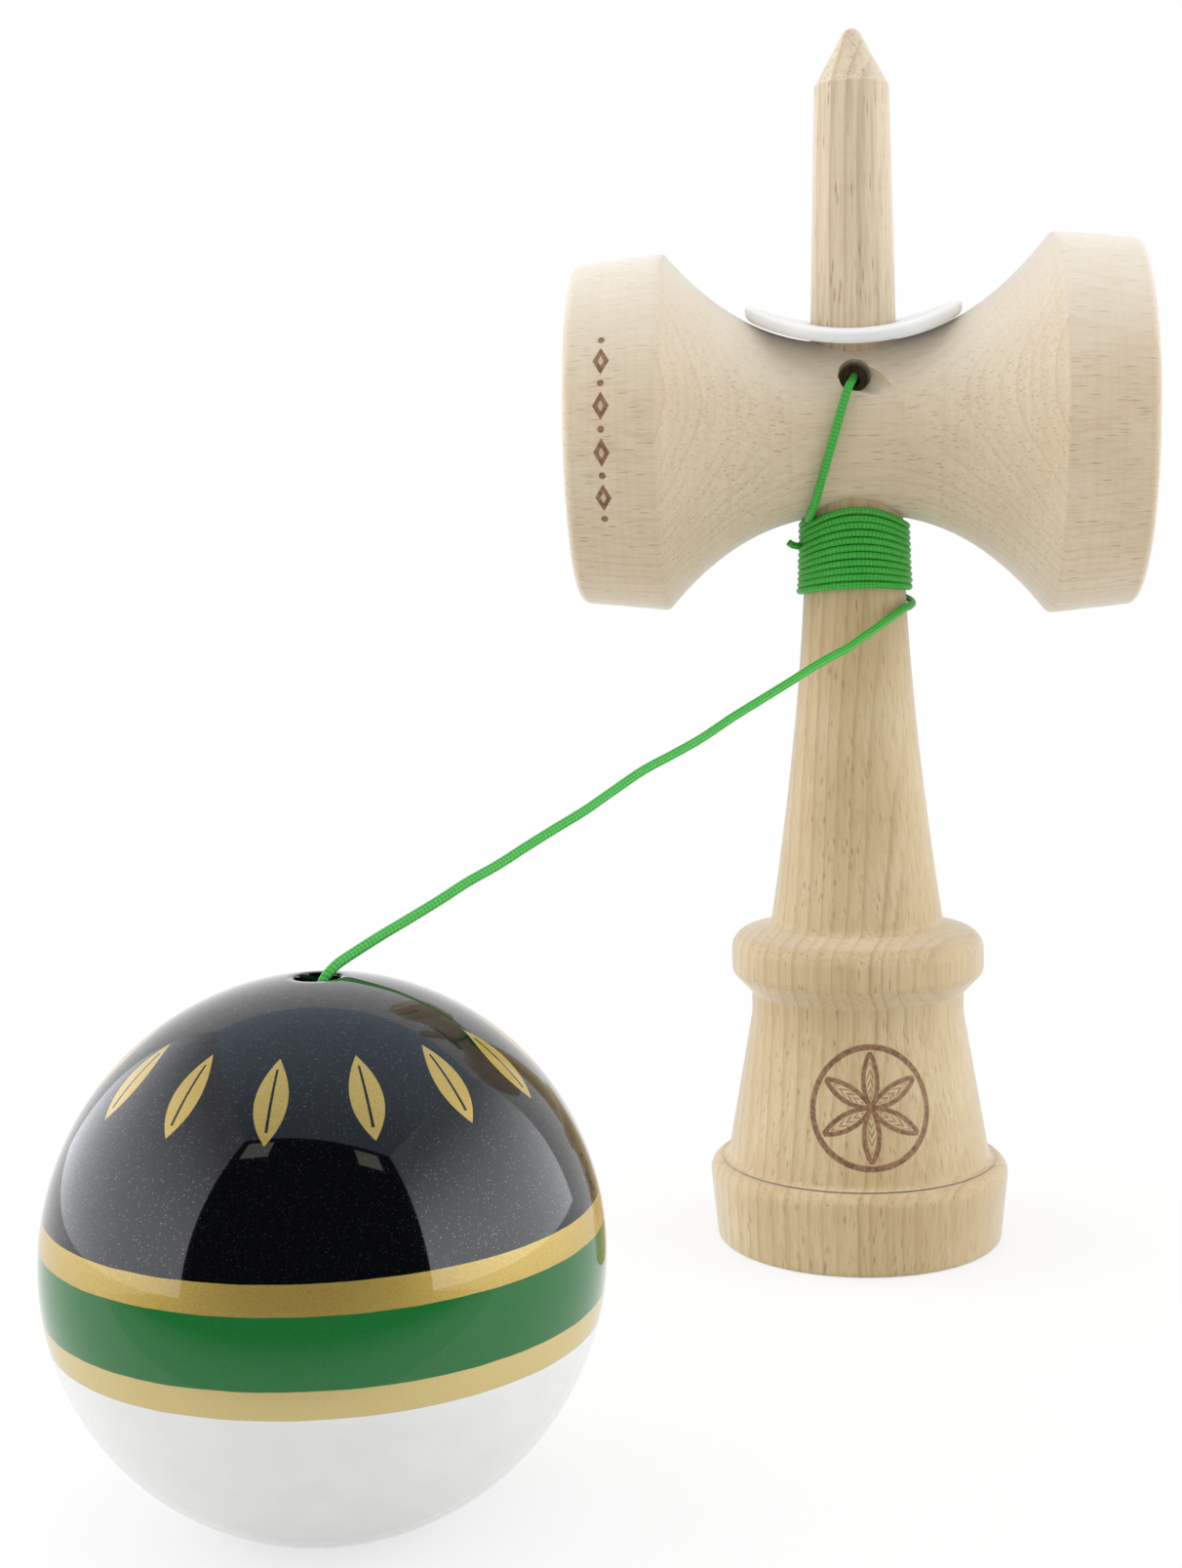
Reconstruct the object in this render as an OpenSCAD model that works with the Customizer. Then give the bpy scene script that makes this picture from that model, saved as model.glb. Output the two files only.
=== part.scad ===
// Kendama: a turned handle with a cross-piece of two cups, and a ball on a string.
// The handle stands on its base cup and the ball stands beside it on its spike hole.

/* [Ken, the handle] */
// Height from the table to the point of the spike
ken_h = 173.6; // [170:0.1:180]
// Diameter of the base ring at the table
foot_d = 41.6; // [40:0.1:43]
// Diameter of the base ring at its top
base_d = 44.1; // [43.5:0.1:48]
// Height of the base ring
base_h = 12.8; // [9:0.1:16]
// Diameter of the body just above the base ring
body_low_d = 38.4; // [34:0.1:38.6]
// Diameter of the body below the collar
body_top_d = 30.8; // [28:0.1:33]
// Height at which the body stops tapering
body_top_z = 33.6; // [30:0.1:34.5]
// Height of the collar's underside
collar_low_z = 36.8; // [36:0.1:37.4]
// Height of the collar's upper edge, before it is rounded
collar_edge_z = 45.2; // [44.6:0.1:45.8]
// Height of the collar's upper face at the handle
collar_top_z = 46.9; // [46:0.1:50]
// Diameter of the collar
collar_d = 36.6; // [35:0.1:42]
// Diameter of the handle at the collar
handle_low_d = 25; // [22:0.1:25.4]
// Diameter of the neck where it enters the sarado
neck_d = 13.9; // [13:0.1:14.4]
// Diameter of the spike inside the sarado
spike_low_d = 12.2; // [11.4:0.1:12.6]
// Diameter of the spike below its point
spike_top_d = 10.5; // [9:0.1:11]
// Height of the spike's point
point_h = 8; // [6:0.1:12]
// Diameter across the mouth of the base cup
base_cup_d = 35.2; // [28:0.1:38]
// Radius of the base cup's hollow
base_cup_r = 26; // [22:0.1:34]

/* [Sarado, the cross-piece] */
// Length of the sarado from rim to rim
sarado_l = 78.6; // [77:0.1:84]
// Height of the sarado's axis above the table
sarado_z = 118.1; // [117:0.1:120]
// Diameter of the waist
waist_d = 24.2; // [23.6:0.1:24.6]
// Diameter of the left shoulder, where the flare ends
left_ridge_d = 50.6; // [46:0.1:54]
// Distance of the left shoulder from the middle
left_ridge_x = 26.7; // [25:0.1:29]
// Diameter of the left rim
left_rim_d = 48; // [47:0.1:50]
// Diameter across the mouth of the left cup
left_cup_d = 40.8; // [36:0.1:42]
// Radius of the left cup's hollow
left_cup_r = 26; // [24:0.1:34]
// Diameter of the right shoulder, where the flare ends
right_ridge_d = 53.2; // [50:0.1:56]
// Distance of the right shoulder from the middle
right_ridge_x = 27.4; // [26:0.1:30]
// Diameter of the right rim
right_rim_d = 50.8; // [49.8:0.1:53]
// Diameter across the mouth of the right cup
right_cup_d = 43.8; // [38:0.1:45]
// Radius of the right cup's hollow
right_cup_r = 27; // [25:0.1:36]
// Depth of the socket that the neck sits in
seat_depth = 5; // [3:0.1:8]
// Diameter of the string hole in the front of the sarado
string_hole_d = 4.6; // [3.8:0.1:4.8]
// Height of the string hole above the sarado's axis
string_hole_rise = 7; // [6.8:0.1:7.6]

/* [Spike washer] */
// Diameter of the bent disc
washer_d = 30.6; // [26:0.1:34]
// Thickness of the bent disc
washer_t = 1.8; // [1:0.1:2]

/* [Tama, the ball] */
// Diameter of the ball
tama_d = 60; // [59.5:0.1:60.5]
// Distance of the ball to the left of the ken
tama_left = 58.3; // [58.1:0.1:58.5]
// Distance of the ball in front of the ken
tama_front = 94.1; // [93.9:0.1:94.3]
// Diameter of the spike hole
bore_d = 17.5; // [15:0.1:19]
// Length of the spike hole's straight wall
bore_l = 24.8; // [20:0.1:25]
// Diameter of the spike hole's bevelled mouth
mouth_d = 22.5; // [21:0.1:24]
// Diameter of the chamber above the spike hole
chamber_d = 12.6; // [11.5:0.1:14]
// Length of the chamber's wall
chamber_l = 8.5; // [8:0.1:10]
// Diameter of the string hole in the top of the ball
tama_string_d = 4.9; // [4.6:0.1:5.4]

/* [String] */
// Diameter of the string
string_d = 1.2; // [1:0.05:1.3]
// Diameter of the turns round the neck, slimmer than the string so that they stay apart
turn_d = 0.4; // [0.3:0.02:0.42]
// Number of whole turns round the neck
turns = 11; // [6:1:11]
// Diameter of the bead inside the ball
bead_d = 8; // [7:0.1:9]
// Height of the bead
bead_h = 6.4; // [5:0.1:7]
// Diameter of the knots
knot_d = 3.4; // [3:0.1:3.6]
// Height of the knots
knot_h = 2.8; // [2.4:0.1:3]

/* [Hidden] */
$fn = 96;
arc_steps = 8;
flare_steps = 14;
handle_steps = 14;

// How far a cut runs past the face that it opens
overrun = 1;
// Clearance of the sarado round the ken
fit = 0.05;
// Clearance between pieces that move apart
play = 0.3;

// Ken
foot_edge = 0.8;
base_round = 2;
groove_drop = 0.9;
groove_round = 0.8;
body_round = 8;
collar_bevel = 3.1;
collar_low_round = 2;
collar_top_round = 2.8;
handle_round = 1.3;
spike_edge = 0.6;
tip_round = 1.45;
handle_bend = 1.65;
foot_r = foot_d / 2;
base_r = base_d / 2;
body_low_r = body_low_d / 2;
body_top_r = body_top_d / 2;
collar_r = collar_d / 2;
handle_low_r = handle_low_d / 2;
neck_r = neck_d / 2;
spike_low_r = spike_low_d / 2;
spike_top_r = spike_top_d / 2;
point_z = ken_h - point_h;
tip_z = ken_h - tip_round;

// Sarado
lip_round = 1.3;
flare_bend = 2.4;
ridge_round = 1.2;
sarado_half = sarado_l / 2;
waist_r = waist_d / 2;
neck_z = sarado_z - waist_r;
seat_z = neck_z + seat_depth;
waist_top_z = sarado_z + waist_r;
string_hole_z = sarado_z + string_hole_rise;

// Tama
tama_r = tama_d / 2;
mouth_r = mouth_d / 2;
bore_r = bore_d / 2;
chamber_r = chamber_d / 2;
tama_string_r = tama_string_d / 2;
roof_angle = 59;
tama_z = sqrt(pow(tama_r, 2) - pow(mouth_r, 2));
bore_low = mouth_r - bore_r - tama_z;
bore_top = bore_low + bore_l;
chamber_top = bore_top + chamber_l;
roof_top = chamber_top + (chamber_r - tama_string_r) / tan(roof_angle);
roof_apex = chamber_top + chamber_r / tan(roof_angle);

// Bead and knots
bead_play = 0.4;
bead_hole_r = 0.9;
bead_z = roof_apex - (bead_d / 2 + bead_play) / sin(roof_angle);
bead_low_z = tama_z + bead_z - bead_h / 2;
knot_flat_r = 1;
knot_edge_share = 0.25;
knot_round_share = 0.17;
knot_pocket_r = 2;
knot_seat_y = 2.6;
cross_hole_r = 0.95;

// Place of the ken, so that the origin lies on the table under the middle of the whole toy
ken_x = (tama_r + tama_left - sarado_half) / 2;
ken_y = (tama_r + tama_front - max(left_ridge_d, right_ridge_d) / 2) / 2;

// Points that round the corner b, met from a and left towards c, to a radius r
function unit(v) = v / norm(v);
function corner(a, b, c, r) =
    let (u = unit(a - b),
         v = unit(c - b),
         half = acos(u * v) / 2,
         middle = b + unit(u + v) * r / sin(half),
         from = b + u * r / tan(half) - middle,
         to = b + v * r / tan(half) - middle)
    [for (i = [0 : arc_steps]) middle + r * unit(from + (to - from) * i / arc_steps)];

// An outline through points [x, y, rounding]
function flat(p) = [p[0], p[1]];
function outline(p) = [for (i = [0 : len(p) - 1])
    let (inner = i > 0 && i < len(p) - 1 && p[i][2] > 0)
    each inner ? corner(flat(p[i - 1]), flat(p[i]), flat(p[i + 1]), p[i][2]) : [flat(p[i])]];

// Radius of the handle at a height between the collar and the sarado
function handle_r(z) =
    let (share = (neck_z - z) / (neck_z - collar_top_z))
    neck_r + (handle_low_r - neck_r) * pow(max(share, 0), handle_bend);

// Radius of the sarado's flare at a distance x from its middle
function flare_r(x, ridge_x, ridge_r) = waist_r + (ridge_r - waist_r) * pow(x / ridge_x, flare_bend);

// Washer: bent so that its edge stands a little above the steeper flare, and tilted to the front
washer_r = washer_d / 2;
washer_tilt = 7.5;
washer_seat = 0.65;
flare_rise = max(flare_r(washer_r, left_ridge_x, left_ridge_d / 2),
                 flare_r(washer_r, right_ridge_x, right_ridge_d / 2)) - waist_r;
washer_rise = flare_rise + play - washer_seat;
washer_bend_r = (pow(washer_r, 2) + pow(washer_rise, 2)) / (2 * washer_rise);

// A tube along a path, whose rings stand on the reference direction ref
function heading(path, i) = unit(path[min(i + 1, len(path) - 1)] - path[max(i - 1, 0)]);
function ring(p, along, ref, r, sides) =
    let (a = unit(cross(along, ref)),
         b = cross(along, a))
    [for (k = [0 : sides - 1]) p + r * (a * cos(360 * k / sides) + b * sin(360 * k / sides))];
module tube(path, d, sides, ref) {
    last = (len(path) - 1) * sides;
    points = [for (i = [0 : len(path) - 1]) each ring(path[i], heading(path, i), ref, d / 2, sides)];
    walls = [for (i = [0 : len(path) - 2], k = [0 : sides - 1])
        let (a = i * sides + k,
             b = i * sides + (k + 1) % sides)
        each [[a, a + sides, b], [b, a + sides, b + sides]]];
    start = [for (k = [1 : sides - 2]) [0, k, k + 1]];
    end = [for (k = [1 : sides - 2]) [last, last + k + 1, last + k]];
    polyhedron(points, concat(walls, start, end));
}

// The same path with more points, none further apart than step
function refine(path, step) = concat(
    [for (i = [0 : len(path) - 2])
        let (n = ceil(norm(path[i + 1] - path[i]) / step))
        for (k = [0 : n - 1]) path[i] + (path[i + 1] - path[i]) * k / n],
    [path[len(path) - 1]]);

// The string's route, from the foot of the ken's axis
sides = 8;
ring_step = 3 * string_d;
hitch_route = [
    [0, knot_seat_y, string_hole_z], [0, 0, 125.1], [0, -4, 125.1], [-0.1, -7, 124.9], [-0.4, -8.8, 124.2],
    [-0.5, -10.3, 123.9], [-0.7, -11.6, 123.7], [-1.1, -12.5, 122.6], [-1.6, -12.8, 121.1],
    [-2.1, -13, 119.5], [-2.8, -13, 117], [-3.5, -12.7, 114.6], [-4.2, -11.9, 112.2],
    [-4.9, -10.6, 109.9], [-5.5, -9, 107.9], [-6.1, -7.2, 106.3]];
span_route = [
    [-0.1, -14.1, 88.4], [-1.2, -15.6, 87.7], [-5.2, -21.1, 85.9], [-9.1, -26.4, 83.8],
    [-12.9, -31.6, 81.8], [-16.5, -36.6, 79.9], [-20.1, -41.5, 77.8], [-23.5, -46.2, 76.2],
    [-26.9, -50.8, 74.7], [-30.1, -55.2, 72.8], [-33.2, -59.6, 70.9], [-36.3, -63.8, 69.3],
    [-39.3, -67.8, 67.7], [-42.2, -71.8, 66.1], [-45, -75.6, 64.8], [-47.7, -79.4, 63.3],
    [-50.4, -83, 61.9], [-53, -86.6, 60.6], [-55.2, -89.6, 59.6], [-56.4, -91.4, 58.9],
    [-57.1, -92.4, 58.3], [-57.7, -93.2, 57.4], [-58, -93.7, 56.4], [-58.1, -93.9, 55],
    [-58.2, -94, 53], [-tama_left, -tama_front, 50], [-tama_left, -tama_front, bead_low_z]];

// The gap between the lead and the span, where the string bends
bend_gap = 0.9;
// Level and square to the span, for the rings of its tube
span_side = [tama_front, -tama_left, 0];

// The turns: clockwise and downwards from the hitch at the left to the lead at the right
loop_rings = 24;
loop_sides = 6;
turn_start_angle = 209;
exit_angle = -35.8;
turn_top_z = 104.7;
turn_low_z = 94.7;
exit_drop = 2.2;
exit_swell = 0.5;
exit_share = 0.5;
arch_top = 2.6;
arch_low = 0.5;
lay_gap = 0.1;
turn_total = turns + (turn_start_angle - exit_angle) / 360;
turn_count = ceil(turn_total * loop_rings);
function turn_point(i) =
    let (done = i / turn_count,
         angle = turn_start_angle - 360 * turn_total * done,
         leaving = pow(max(0, 1 - (turn_count - i) / loop_rings / exit_share), 2),
         level = turn_top_z - (turn_top_z - turn_low_z) * done - exit_drop * leaving,
         z = level + (arch_top + (arch_low - arch_top) * done) * pow(sin(angle), 2),
         r = handle_r(level) + string_d / 2 + lay_gap + exit_swell * leaving)
    [r * cos(angle), r * sin(angle), z];
turn_exit = turn_point(turn_count);
turn_points = [for (i = [0 : turn_count]) turn_point(i)];
lead_heading = unit(span_route[1] - turn_exit);
lead_start = turn_exit + lead_heading * turn_d;
winding_path = concat([hitch_route[len(hitch_route) - 1]], turn_points, [lead_start]);
lead_route = [lead_start, span_route[0] - lead_heading * bend_gap];
turn_gap = min([for (i = [0 : turn_count - loop_rings])
    min([for (j = [i + loop_rings / 2 : min(i + 3 * loop_rings / 2, turn_count)])
        norm(turn_points[i] - turn_points[j])])]) - turn_d;
echo(least_gap_between_turns = turn_gap);

// The handle, turned in one piece, with its base cup, string hole and knot pocket
module ken() {
    curve = [for (i = [1 : handle_steps])
        let (z = collar_top_z + (neck_z - collar_top_z) * i / handle_steps)
        [handle_r(z), z, 0]];
    corners = concat(
        [[0, 0, 0], [foot_r, 0, foot_edge], [base_r, base_h, base_round],
         [body_low_r, base_h - groove_drop, groove_round], [body_top_r, body_top_z, body_round],
         [body_top_r, collar_low_z, 0],
         [collar_r, collar_low_z + collar_bevel, collar_low_round], [collar_r, collar_edge_z, collar_top_round],
         [handle_low_r, collar_top_z, handle_round]],
        curve,
        [[neck_r, seat_z, 0], [spike_low_r, seat_z, 0], [spike_low_r, waist_top_z, 0],
         [spike_top_r, point_z, spike_edge]]);
    reach = norm([spike_top_r, point_z - tip_z]);
    tip_angle = atan2(point_z - tip_z, spike_top_r) + acos(tip_round / reach);
    tip_start = [tip_round * cos(tip_angle), tip_z + tip_round * sin(tip_angle), 0];
    tip = [for (i = [1 : arc_steps])
        let (a = tip_angle + (90 - tip_angle) * i / arc_steps)
        i < arc_steps ? [tip_round * cos(a), tip_z + tip_round * sin(a)] : [0, ken_h]];
    color("#dcc59c")
    translate([ken_x, ken_y, 0])
    difference() {
        rotate_extrude()
        polygon(concat(outline(concat(corners, [tip_start])), tip));
        translate([0, 0, -sqrt(pow(base_cup_r, 2) - pow(base_cup_d / 2, 2))])
        sphere(base_cup_r);
        translate([0, knot_seat_y + overrun, string_hole_z])
        rotate([90, 0, 0])
        cylinder(r = cross_hole_r, h = knot_seat_y + spike_low_r + 2 * overrun);
        translate([0, knot_seat_y, string_hole_z])
        rotate([-90, 0, 0])
        cylinder(r = knot_pocket_r, h = spike_low_r);
    }
}

// The cross-piece, turned about its own axis, with a cup in each end
module sarado() {
    left = [for (i = [1 : flare_steps])
        let (x = left_ridge_x * (1 - i / flare_steps))
        [flare_r(x, left_ridge_x, left_ridge_d / 2), -x, 0]];
    right = [for (i = [1 : flare_steps - 1])
        let (x = right_ridge_x * i / flare_steps)
        [flare_r(x, right_ridge_x, right_ridge_d / 2), x, 0]];
    corners = concat(
        [[0, -sarado_half, 0], [left_rim_d / 2, -sarado_half, lip_round],
         [left_ridge_d / 2, -left_ridge_x, ridge_round]],
        left, right,
        [[right_ridge_d / 2, right_ridge_x, ridge_round], [right_rim_d / 2, sarado_half, lip_round],
         [0, sarado_half, 0]]);
    left_depth = sqrt(pow(left_cup_r, 2) - pow(left_cup_d / 2, 2));
    right_depth = sqrt(pow(right_cup_r, 2) - pow(right_cup_d / 2, 2));
    color("#e6d5bf")
    translate([ken_x, ken_y, sarado_z])
    difference() {
        rotate([0, 90, 0])
        rotate_extrude()
        polygon(outline(corners));
        translate([-sarado_half - left_depth, 0, 0])
        sphere(left_cup_r);
        translate([sarado_half + right_depth, 0, 0])
        sphere(right_cup_r);
        translate([0, 0, -waist_r - overrun])
        cylinder(r = spike_low_r + fit, h = waist_d + 2 * overrun);
        translate([0, 0, -waist_r - overrun])
        cylinder(r = neck_r + fit, h = seat_depth + overrun);
        translate([0, 0, string_hole_rise])
        rotate([90, 0, 0])
        cylinder(d = string_hole_d, h = waist_r + overrun);
    }
}

// The bent disc on the spike, which follows the flare of the sarado
module spike_washer() {
    low_z = waist_top_z + washer_seat;
    middle_z = low_z + washer_t / 2;
    color("white")
    translate([ken_x, ken_y, middle_z])
    rotate([washer_tilt, 0, 0])
    translate([0, 0, -middle_z])
    difference() {
        intersection() {
            translate([0, washer_r + overrun, low_z + washer_bend_r])
            rotate([90, 0, 0])
            linear_extrude(washer_d + 2 * overrun)
            difference() {
                circle(washer_bend_r);
                circle(washer_bend_r - washer_t);
            }
            translate([0, 0, low_z - overrun])
            cylinder(d = washer_d, h = washer_bend_r);
        }
        translate([0, 0, low_z - 2 * overrun])
        cylinder(r = spike_low_r + play, h = washer_bend_r);
    }
}

// A round knot on the string, standing on its flat end
module knot() {
    edge = knot_edge_share * knot_h;
    round = knot_round_share * knot_h;
    color("#1f7a2e")
    rotate_extrude()
    polygon(outline([[0, 0, 0], [knot_flat_r, 0, 0], [knot_d / 2, edge, round], [knot_d / 2, knot_h - edge, round],
                     [knot_flat_r, knot_h, 0], [0, knot_h, 0]]));
}

module ken_knot() {
    translate([ken_x, ken_y + knot_seat_y, string_hole_z])
    rotate([-90, 0, 0])
    knot();
}

module bead_knot() {
    translate([ken_x - tama_left, ken_y - tama_front, bead_low_z - knot_h])
    knot();
}

// A barrel-shaped bead that can't pass the ball's string hole
module stop_bead() {
    color("#d2b48c")
    translate([ken_x - tama_left, ken_y - tama_front, tama_z + bead_z])
    difference() {
        intersection() {
            sphere(d = bead_d);
            cylinder(d = bead_d + overrun, h = bead_h, center = true);
        }
        cylinder(r = bead_hole_r, h = bead_h + 2 * overrun, center = true);
    }
}

// The string from its knot in the ken, down the front of the sarado
module string_hitch() {
    color("#2e9e3a")
    translate([ken_x, ken_y, 0])
    tube(refine(hitch_route, ring_step), string_d, sides, [1, 0, 0]);
}

// The string's turns round the neck
module string_winding() {
    color("#2e9e3a")
    translate([ken_x, ken_y, 0])
    tube(winding_path, turn_d, loop_sides, [0, 0, 1]);
}

// The string's first stretch off the winding
module string_lead() {
    color("#2e9e3a")
    translate([ken_x, ken_y, 0])
    tube(refine(lead_route, ring_step), string_d, sides, span_side);
}

// The string's free span, over the edge of the ball's string hole and down through the bead
module string_span() {
    color("#2e9e3a")
    translate([ken_x, ken_y, 0])
    tube(refine(span_route, ring_step), string_d, sides, span_side);
}

// The ball, with a bevelled spike hole below and a string hole above
module tama() {
    hole = [[0, -tama_r - overrun], [mouth_r + tama_r - tama_z + overrun, -tama_r - overrun],
            [bore_r, bore_low], [bore_r, bore_top], [chamber_r, bore_top], [chamber_r, chamber_top],
            [tama_string_r, roof_top], [tama_string_r, tama_r + overrun], [0, tama_r + overrun]];
    color("#15161a")
    translate([ken_x - tama_left, ken_y - tama_front, tama_z])
    difference() {
        sphere(tama_r);
        rotate_extrude()
        polygon(hole);
    }
}

ken();
sarado();
spike_washer();
ken_knot();
string_hitch();
string_winding();
string_lead();
string_span();
stop_bead();
bead_knot();
tama();
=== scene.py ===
import math
import bmesh
import bpy
from mathutils import Matrix, Vector, noise


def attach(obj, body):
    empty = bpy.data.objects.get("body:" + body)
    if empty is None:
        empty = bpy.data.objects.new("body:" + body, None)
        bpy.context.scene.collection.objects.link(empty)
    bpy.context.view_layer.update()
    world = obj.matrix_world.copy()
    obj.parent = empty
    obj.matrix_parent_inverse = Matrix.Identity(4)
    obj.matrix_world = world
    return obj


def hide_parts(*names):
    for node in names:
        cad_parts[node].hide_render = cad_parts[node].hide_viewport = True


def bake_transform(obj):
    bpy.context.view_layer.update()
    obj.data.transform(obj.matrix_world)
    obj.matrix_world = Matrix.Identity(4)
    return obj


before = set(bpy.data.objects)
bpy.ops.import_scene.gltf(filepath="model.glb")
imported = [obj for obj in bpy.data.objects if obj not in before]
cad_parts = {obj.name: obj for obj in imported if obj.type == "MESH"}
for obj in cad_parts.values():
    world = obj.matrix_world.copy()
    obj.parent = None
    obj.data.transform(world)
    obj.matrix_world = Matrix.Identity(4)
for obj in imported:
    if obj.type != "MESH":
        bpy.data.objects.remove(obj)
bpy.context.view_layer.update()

mm = 0.001
kenAxis = Vector((24.5, 48.75, 0)) * mm  # foot of the handle's axis on the table
tamaAxis = Vector((-33.8, -45.35, 0)) * mm  # foot of the ball's axis on the table
up, toFront, toBack = Vector((0, 0, 1)), Vector((0, -1, 0)), Vector((0, 1, 0))


def hexColour(text):
    channels = [int(text[i:i + 2], 16) / 255 for i in (1, 3, 5)]
    return [c / 12.92 if c <= 0.04045 else ((c + 0.055) / 1.055) ** 2.4 for c in channels] + [1]


def feed(tree, node, inputs):  # links sockets, sets numbers and colours
    for key, value in inputs.items():
        if isinstance(value, bpy.types.NodeSocket):
            tree.links.new(value, node.inputs[key])
        else:
            node.inputs[key].default_value = hexColour(value) if isinstance(value, str) else value


def addNode(tree, kind, inputs=None, **settings):
    node = tree.nodes.new(kind)
    for name, value in settings.items():
        setattr(node, name, value)
    feed(tree, node, inputs or {})
    return node


def calc(tree, operation, *values):
    return addNode(tree, "ShaderNodeMath", dict(enumerate(values)), operation=operation).outputs[0]


def maths(operation):
    return lambda tree, *values: calc(tree, operation, *values)


times, plus, minus, over = (maths(name) for name in ("MULTIPLY", "ADD", "SUBTRACT", "DIVIDE"))
absolute, most, below, above = (maths(name) for name in ("ABSOLUTE", "MAXIMUM", "LESS_THAN", "GREATER_THAN"))
sine, cosine, angleOf, fraction = (maths(name) for name in ("SINE", "COSINE", "ARCTAN2", "FRACT"))


def flip(tree, value):  # 1 becomes 0 and 0 becomes 1
    return minus(tree, 1, value)


def hypot(tree, first, second):
    return calc(tree, "SQRT", plus(tree, times(tree, first, first), times(tree, second, second)))


def split(tree, vector):
    return addNode(tree, "ShaderNodeSeparateXYZ", {0: vector}).outputs


def objectSpot(tree):
    return addNode(tree, "ShaderNodeTexCoord").outputs["Object"]


def inMillimetres(tree, spot, centre, rotation=(0, 0, 0)):  # the spot as seen from a centre
    inputs = {"Vector": spot, "Location": centre, "Rotation": rotation, "Scale": (mm, mm, mm)}
    return addNode(tree, "ShaderNodeMapping", inputs, vector_type="TEXTURE").outputs[0]


def stretch(tree, spot, scale):
    return addNode(tree, "ShaderNodeMapping", {"Vector": spot, "Scale": scale}).outputs[0]


def noiseAt(tree, spot, scale, detail):
    inputs = {"Vector": spot, "Scale": scale, "Detail": detail}
    return addNode(tree, "ShaderNodeTexNoise", inputs).outputs["Fac"]


def noiseAlong(tree, place, scale, detail):
    inputs = {"W": place, "Scale": scale, "Detail": detail}
    return addNode(tree, "ShaderNodeTexNoise", inputs, noise_dimensions="1D").outputs["Fac"]


def dotWith(tree, vector, way):
    node = addNode(tree, "ShaderNodeVectorMath", {0: vector, 1: way}, operation="DOT_PRODUCT")
    return node.outputs["Value"]


def blend(tree, factor, first, second):
    node = addNode(tree, "ShaderNodeMix", {0: factor, 6: first, 7: second}, data_type="RGBA")
    return node.outputs[2]


def stepUp(tree, value, low, high, first=0, last=1):  # first below low, last above high, smooth between
    inputs = {0: value, 1: low, 2: high, 3: first, 4: last}
    return addNode(tree, "ShaderNodeMapRange", inputs, interpolation_type="SMOOTHSTEP").outputs[0]


def stepDown(tree, value, low, high):
    return flip(tree, stepUp(tree, value, low, high))


def newMaterial(name):
    material = bpy.data.materials.new(name)
    material.use_nodes = True
    tree = material.node_tree
    return material, tree, tree.nodes["Principled BSDF"]


def linkBump(tree, shader, height, depth, strength):
    bump = addNode(tree, "ShaderNodeBump", {"Height": height, "Distance": depth * mm, "Strength": strength})
    feed(tree, shader, {"Normal": bump.outputs[0]})


def addObject(name, data):
    thing = bpy.data.objects.new(name, data)
    bpy.context.scene.collection.objects.link(thing)
    return thing


def meshFrom(work, name):
    mesh = bpy.data.meshes.new(name)
    work.to_mesh(mesh)
    work.free()
    return mesh


def bridge(work, low, high):  # a row of faces between two rings
    for k in range(len(low)):
        after = (k + 1) % len(low)
        work.faces.new((low[k], low[after], high[after], high[k]))


# Camera, at the photograph's place
camera = {"place": (18.6, -263.77, 102.0), "yaw": -6.0, "pitch": 6.276, "roll": -1.154,
          "focal": 2200, "tall": 1608}


def placeCamera():
    data = bpy.data.cameras.new("camera")
    data.sensor_width = 36
    data.lens = camera["focal"] / camera["tall"] * data.sensor_width
    data.clip_start, data.clip_end = 0.01, 50
    eye = addObject("camera", data)
    yaw, pitch, roll = (math.radians(camera[k]) for k in ("yaw", "pitch", "roll"))
    forward = Vector((math.sin(yaw) * math.cos(pitch), math.cos(yaw) * math.cos(pitch), -math.sin(pitch)))
    right = Vector((math.cos(yaw), -math.sin(yaw), 0))
    upward = right.cross(forward)
    leanRight = right * math.cos(roll) + upward * math.sin(roll)
    leanUp = upward * math.cos(roll) - right * math.sin(roll)
    turn = Matrix((leanRight, leanUp, -forward)).transposed().to_4x4()
    eye.matrix_world = Matrix.Translation(Vector(camera["place"]) * mm) @ turn
    bpy.context.scene.camera = eye


placeCamera()
bpy.context.scene.view_settings.view_transform = "Standard"
print("camera placed")


def addPiece(name, mesh, material):
    piece = addObject(name, mesh)
    mesh.materials.clear()
    mesh.materials.append(material)
    return piece


def closeMesh(mesh, sharpAngle=40):  # doubles merged, faces outward, soft shading but for hard edges
    work = bmesh.new()
    work.from_mesh(mesh)
    bmesh.ops.remove_doubles(work, verts=work.verts, dist=0.002 * mm)
    bmesh.ops.recalc_face_normals(work, faces=work.faces)
    work.to_mesh(mesh)
    work.free()
    mesh.shade_smooth()
    mesh.set_sharp_from_angle(angle=math.radians(sharpAngle))


# Braided nylon cord: eight plaited yarns of bright filament, silky, with a painted highlight on the yarn
# crowns and painted shade between the yarns
cord = {"diameter": 1.16, "wound": 1.0, "sides": 12, "step": 0.3, "plait": 2.2, "yarns": 4, "swell": 0.03,
        "crownHighlight": "#52dc48", "grooveShadeColour": "#0a7019", "yarnGreen": "#2cac36"}


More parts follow.
